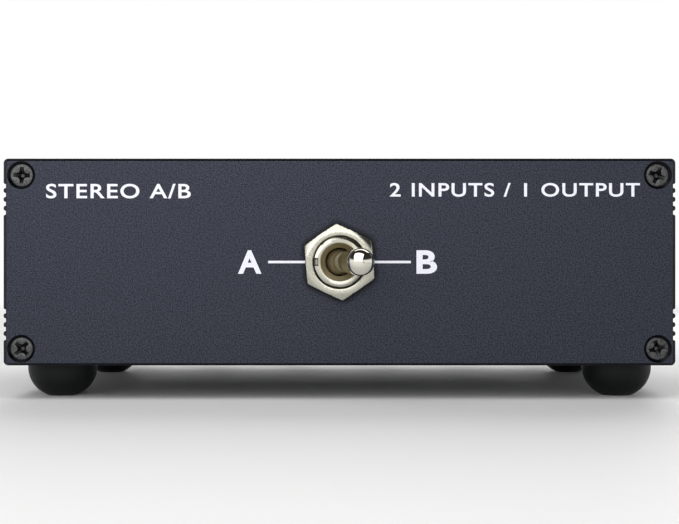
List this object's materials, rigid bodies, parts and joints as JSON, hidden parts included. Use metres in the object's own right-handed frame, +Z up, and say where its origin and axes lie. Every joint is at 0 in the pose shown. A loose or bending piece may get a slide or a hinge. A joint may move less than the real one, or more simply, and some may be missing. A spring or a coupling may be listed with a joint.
{
  "type": "speaker selector switch",
  "caption": "Low metal box with a toggle switch on the front and rows of clear screw-down binding posts on the back; the lever sends one amplifier or the other to the speakers.",
  "frame": {"origin": "on the surface under the feet, below the middle of the overall box", "axes": "+X to the right of the front panel, +Y from the front panel to the rear one, +Z up"},
  "size_m": [0.1612, 0.146, 0.0578],
  "materials": {
    "black_anodised": "sand-blasted, black anodised",
    "black_pvc": "extruded",
    "black_zinc": "black zinc plate",
    "bright_nickel": "bright nickel plate",
    "clear_polycarbonate": "clear, moulded",
    "foot_rubber": "moulded, satin",
    "gold_plated_brass": "gold plate",
    "phenolic": "moulded",
    "red_pvc": "extruded",
    "silvered_brass": "silver plate",
    "white_nylon": "moulded",
    "zinc_steel": "zinc plate"
  },
  "bodies": {
    "root": {"back_nut": "bright_nickel", "bottom_shell": "black_anodised", "foot_front_left": "foot_rubber", "foot_front_right": "foot_rubber", "foot_rear_left": "foot_rubber", "foot_rear_right": "foot_rubber", "front_panel": "black_anodised", "front_panel_screws": "black_zinc", "lever_pivot_pin": "zinc_steel", "lock_washer": "bright_nickel", "panel_nut": "bright_nickel", "post_bases": "clear_polycarbonate", "post_clamp_nuts": "gold_plated_brass", "post_collars": "gold_plated_brass", "post_inner_bushes": "clear_polycarbonate", "post_outer_nuts": "gold_plated_brass", "post_solder_lugs": "gold_plated_brass", "post_stems": "gold_plated_brass", "post_washers": "bright_nickel", "rear_panel": "black_anodised", "rear_panel_screws": "black_zinc", "switch_frame": "zinc_steel", "switch_housing": "phenolic", "switch_terminals": "silvered_brass", "toggle_bushing": "bright_nickel", "top_shell": "black_anodised", "wires_black": "black_pvc", "wires_red": "red_pvc"},
    "lever": {"toggle_lever": "bright_nickel", "plunger_spring": "zinc_steel"},
    "plunger": {"plunger": "white_nylon"},
    "carrier": {"contact_carrier": "phenolic", "contact_blades": "silvered_brass"},
    "post_insert_01": {"post_insert_01": "gold_plated_brass"},
    "post_cap_01": {"post_cap_01": "clear_polycarbonate"},
    "post_insert_02": {"post_insert_02": "gold_plated_brass"},
    "post_cap_02": {"post_cap_02": "clear_polycarbonate"},
    "post_insert_03": {"post_insert_03": "gold_plated_brass"},
    "post_cap_03": {"post_cap_03": "clear_polycarbonate"},
    "post_insert_04": {"post_insert_04": "gold_plated_brass"},
    "post_cap_04": {"post_cap_04": "clear_polycarbonate"},
    "post_insert_05": {"post_insert_05": "gold_plated_brass"},
    "post_cap_05": {"post_cap_05": "clear_polycarbonate"},
    "post_insert_06": {"post_insert_06": "gold_plated_brass"},
    "post_cap_06": {"post_cap_06": "clear_polycarbonate"},
    "post_insert_07": {"post_insert_07": "gold_plated_brass"},
    "post_cap_07": {"post_cap_07": "clear_polycarbonate"},
    "post_insert_08": {"post_insert_08": "gold_plated_brass"},
    "post_cap_08": {"post_cap_08": "clear_polycarbonate"},
    "post_insert_09": {"post_insert_09": "gold_plated_brass"},
    "post_cap_09": {"post_cap_09": "clear_polycarbonate"},
    "post_insert_10": {"post_insert_10": "gold_plated_brass"},
    "post_cap_10": {"post_cap_10": "clear_polycarbonate"},
    "post_insert_11": {"post_insert_11": "gold_plated_brass"},
    "post_cap_11": {"post_cap_11": "clear_polycarbonate"},
    "post_insert_12": {"post_insert_12": "gold_plated_brass"},
    "post_cap_12": {"post_cap_12": "clear_polycarbonate"}
  },
  "joints": [
    {"name": "lever_swing", "type": "hinge", "parent": "root", "child": "lever", "pos_m": [0, -0.04798, 0.033], "axis": [0, 0, 1], "range_deg": [-24.5, 0]},
    {"name": "plunger_travel", "type": "slide", "parent": "lever", "child": "plunger", "axis": [0.2122, -0.9772, 0], "range_m": [0, 0.0006], "stiffness_N_per_m": 300, "springref_m": -0.002, "deforming": ["plunger_spring"]},
    {"name": "carrier_tilt", "type": "hinge", "parent": "root", "child": "carrier", "pos_m": [0, -0.03298, 0.033], "axis": [0, 0, 1], "range_deg": [0, 16]},
    {"name": "post_01_travel", "type": "slide", "parent": "root", "child": "post_insert_01", "axis": [0, 1, 0], "range_m": [0, 0.005]},
    {"name": "post_01_turn", "type": "hinge", "parent": "post_insert_01", "child": "post_cap_01", "pos_m": [-0.065, 0.05302, 0.04825], "axis": [0, 1, 0], "range_deg": [0, 1800]},
    {"name": "post_02_travel", "type": "slide", "parent": "root", "child": "post_insert_02", "axis": [0, 1, 0], "range_m": [0, 0.005]},
    {"name": "post_02_turn", "type": "hinge", "parent": "post_insert_02", "child": "post_cap_02", "pos_m": [-0.065, 0.05302, 0.01775], "axis": [0, 1, 0], "range_deg": [0, 1800]},
    {"name": "post_03_travel", "type": "slide", "parent": "root", "child": "post_insert_03", "axis": [0, 1, 0], "range_m": [0, 0.005]},
    {"name": "post_03_turn", "type": "hinge", "parent": "post_insert_03", "child": "post_cap_03", "pos_m": [-0.039, 0.05302, 0.04825], "axis": [0, 1, 0], "range_deg": [0, 1800]},
    {"name": "post_04_travel", "type": "slide", "parent": "root", "child": "post_insert_04", "axis": [0, 1, 0], "range_m": [0, 0.005]},
    {"name": "post_04_turn", "type": "hinge", "parent": "post_insert_04", "child": "post_cap_04", "pos_m": [-0.039, 0.05302, 0.01775], "axis": [0, 1, 0], "range_deg": [0, 1800]},
    {"name": "post_05_travel", "type": "slide", "parent": "root", "child": "post_insert_05", "axis": [0, 1, 0], "range_m": [0, 0.005]},
    {"name": "post_05_turn", "type": "hinge", "parent": "post_insert_05", "child": "post_cap_05", "pos_m": [-0.013, 0.05302, 0.04825], "axis": [0, 1, 0], "range_deg": [0, 1800]},
    {"name": "post_06_travel", "type": "slide", "parent": "root", "child": "post_insert_06", "axis": [0, 1, 0], "range_m": [0, 0.005]},
    {"name": "post_06_turn", "type": "hinge", "parent": "post_insert_06", "child": "post_cap_06", "pos_m": [-0.013, 0.05302, 0.01775], "axis": [0, 1, 0], "range_deg": [0, 1800]},
    {"name": "post_07_travel", "type": "slide", "parent": "root", "child": "post_insert_07", "axis": [0, 1, 0], "range_m": [0, 0.005]},
    {"name": "post_07_turn", "type": "hinge", "parent": "post_insert_07", "child": "post_cap_07", "pos_m": [0.013, 0.05302, 0.04825], "axis": [0, 1, 0], "range_deg": [0, 1800]},
    {"name": "post_08_travel", "type": "slide", "parent": "root", "child": "post_insert_08", "axis": [0, 1, 0], "range_m": [0, 0.005]},
    {"name": "post_08_turn", "type": "hinge", "parent": "post_insert_08", "child": "post_cap_08", "pos_m": [0.013, 0.05302, 0.01775], "axis": [0, 1, 0], "range_deg": [0, 1800]},
    {"name": "post_09_travel", "type": "slide", "parent": "root", "child": "post_insert_09", "axis": [0, 1, 0], "range_m": [0, 0.005]},
    {"name": "post_09_turn", "type": "hinge", "parent": "post_insert_09", "child": "post_cap_09", "pos_m": [0.039, 0.05302, 0.04825], "axis": [0, 1, 0], "range_deg": [0, 1800]},
    {"name": "post_10_travel", "type": "slide", "parent": "root", "child": "post_insert_10", "axis": [0, 1, 0], "range_m": [0, 0.005]},
    {"name": "post_10_turn", "type": "hinge", "parent": "post_insert_10", "child": "post_cap_10", "pos_m": [0.039, 0.05302, 0.01775], "axis": [0, 1, 0], "range_deg": [0, 1800]},
    {"name": "post_11_travel", "type": "slide", "parent": "root", "child": "post_insert_11", "axis": [0, 1, 0], "range_m": [0, 0.005]},
    {"name": "post_11_turn", "type": "hinge", "parent": "post_insert_11", "child": "post_cap_11", "pos_m": [0.065, 0.05302, 0.04825], "axis": [0, 1, 0], "range_deg": [0, 1800]},
    {"name": "post_12_travel", "type": "slide", "parent": "root", "child": "post_insert_12", "axis": [0, 1, 0], "range_m": [0, 0.005]},
    {"name": "post_12_turn", "type": "hinge", "parent": "post_insert_12", "child": "post_cap_12", "pos_m": [0.065, 0.05302, 0.01775], "axis": [0, 1, 0], "range_deg": [0, 1800]}
  ],
  "couplings": [
    {"joint": "carrier_tilt", "follows": "lever_swing", "ratio": -0.65306},
    {"joint": "post_01_turn", "follows": "post_01_travel", "rad_per_m": 6283.1},
    {"joint": "post_02_turn", "follows": "post_02_travel", "rad_per_m": 6283.1},
    {"joint": "post_03_turn", "follows": "post_03_travel", "rad_per_m": 6283.1},
    {"joint": "post_04_turn", "follows": "post_04_travel", "rad_per_m": 6283.1},
    {"joint": "post_05_turn", "follows": "post_05_travel", "rad_per_m": 6283.1},
    {"joint": "post_06_turn", "follows": "post_06_travel", "rad_per_m": 6283.1},
    {"joint": "post_07_turn", "follows": "post_07_travel", "rad_per_m": 6283.1},
    {"joint": "post_08_turn", "follows": "post_08_travel", "rad_per_m": 6283.1},
    {"joint": "post_09_turn", "follows": "post_09_travel", "rad_per_m": 6283.1},
    {"joint": "post_10_turn", "follows": "post_10_travel", "rad_per_m": 6283.1},
    {"joint": "post_11_turn", "follows": "post_11_travel", "rad_per_m": 6283.1},
    {"joint": "post_12_turn", "follows": "post_12_travel", "rad_per_m": 6283.1}
  ]
}
